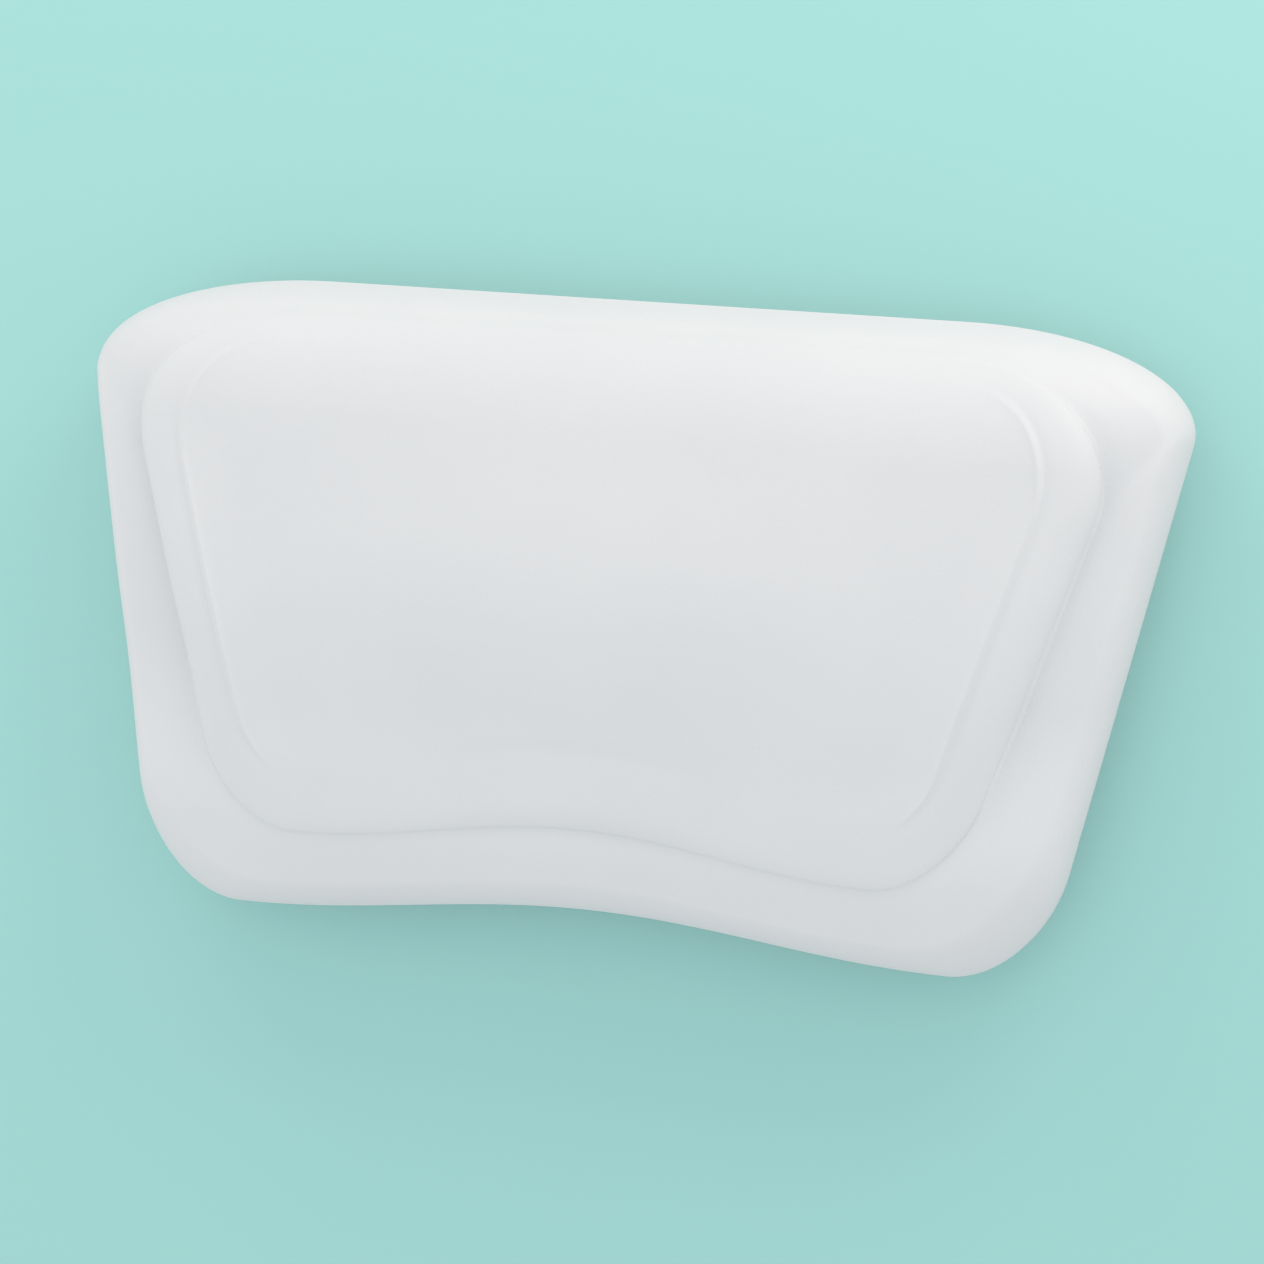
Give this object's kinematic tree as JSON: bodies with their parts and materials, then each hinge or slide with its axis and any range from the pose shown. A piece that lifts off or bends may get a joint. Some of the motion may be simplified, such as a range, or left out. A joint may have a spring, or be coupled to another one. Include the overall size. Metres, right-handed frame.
{
  "type": "bath pillow",
  "caption": "Moulded foam bath pillow with a raised head panel, a pressed line along its shoulder, a softer outer rim and turning suction cups that slide in keyhole slots.",
  "frame": {"origin": "middle of the outline, on the plane of the four suction cup rims", "axes": "+X across the pillow, +Y towards its wide top edge, +Z out of the head side, so that it lies on its cups"},
  "size_m": [0.2988, 0.172, 0.0597],
  "materials": {
    "front_skin": "white polyurethane skin, matt with a fine grain",
    "back_skin": "white polyurethane skin, matt with a fine grain",
    "foam": "off-white open foam",
    "board": "light grey polypropylene sheet, matt",
    "dome": "light grey moulded polypropylene, matt",
    "stud": "white moulded nylon, satin",
    "cup": "clear soft vinyl, slightly milky and glossy"
  },
  "bodies": {
    "pillow": {"front_skin": "front_skin", "foam_core": "foam", "back_skin": "back_skin", "insert_board": "board", "keyhole_dome_upper_left": "dome", "keyhole_dome_upper_right": "dome", "keyhole_dome_lower_left": "dome", "keyhole_dome_lower_right": "dome"},
    "stud_upper_left": {"cup_stud_upper_left": "stud"},
    "stud_upper_right": {"cup_stud_upper_right": "stud"},
    "stud_lower_left": {"cup_stud_lower_left": "stud"},
    "stud_lower_right": {"cup_stud_lower_right": "stud"},
    "cup_upper_left": {"suction_cup_upper_left": "cup"},
    "cup_upper_right": {"suction_cup_upper_right": "cup"},
    "cup_lower_left": {"suction_cup_lower_left": "cup"},
    "cup_lower_right": {"suction_cup_lower_right": "cup"}
  },
  "joints": [
    {"name": "slide_upper_left", "type": "slide", "parent": "pillow", "child": "stud_upper_left", "axis": [0, -1, 0], "range_m": [0, 0.012]},
    {"name": "slide_upper_right", "type": "slide", "parent": "pillow", "child": "stud_upper_right", "axis": [0, -1, 0], "range_m": [0, 0.012]},
    {"name": "slide_lower_left", "type": "slide", "parent": "pillow", "child": "stud_lower_left", "axis": [0, -1, 0], "range_m": [0, 0.012]},
    {"name": "slide_lower_right", "type": "slide", "parent": "pillow", "child": "stud_lower_right", "axis": [0, -1, 0], "range_m": [0, 0.012]},
    {"name": "turn_upper_left", "type": "hinge", "parent": "stud_upper_left", "child": "cup_upper_left", "pos_m": [-0.0863, 0.042, 0.0072], "axis": [0, 0, 1], "continuous": true},
    {"name": "turn_upper_right", "type": "hinge", "parent": "stud_upper_right", "child": "cup_upper_right", "pos_m": [0.0863, 0.042, 0.0072], "axis": [0, 0, 1], "continuous": true},
    {"name": "turn_lower_left", "type": "hinge", "parent": "stud_lower_left", "child": "cup_lower_left", "pos_m": [-0.07128, -0.034, 0.0072], "axis": [0, 0, 1], "continuous": true},
    {"name": "turn_lower_right", "type": "hinge", "parent": "stud_lower_right", "child": "cup_lower_right", "pos_m": [0.07128, -0.034, 0.0072], "axis": [0, 0, 1], "continuous": true}
  ]
}
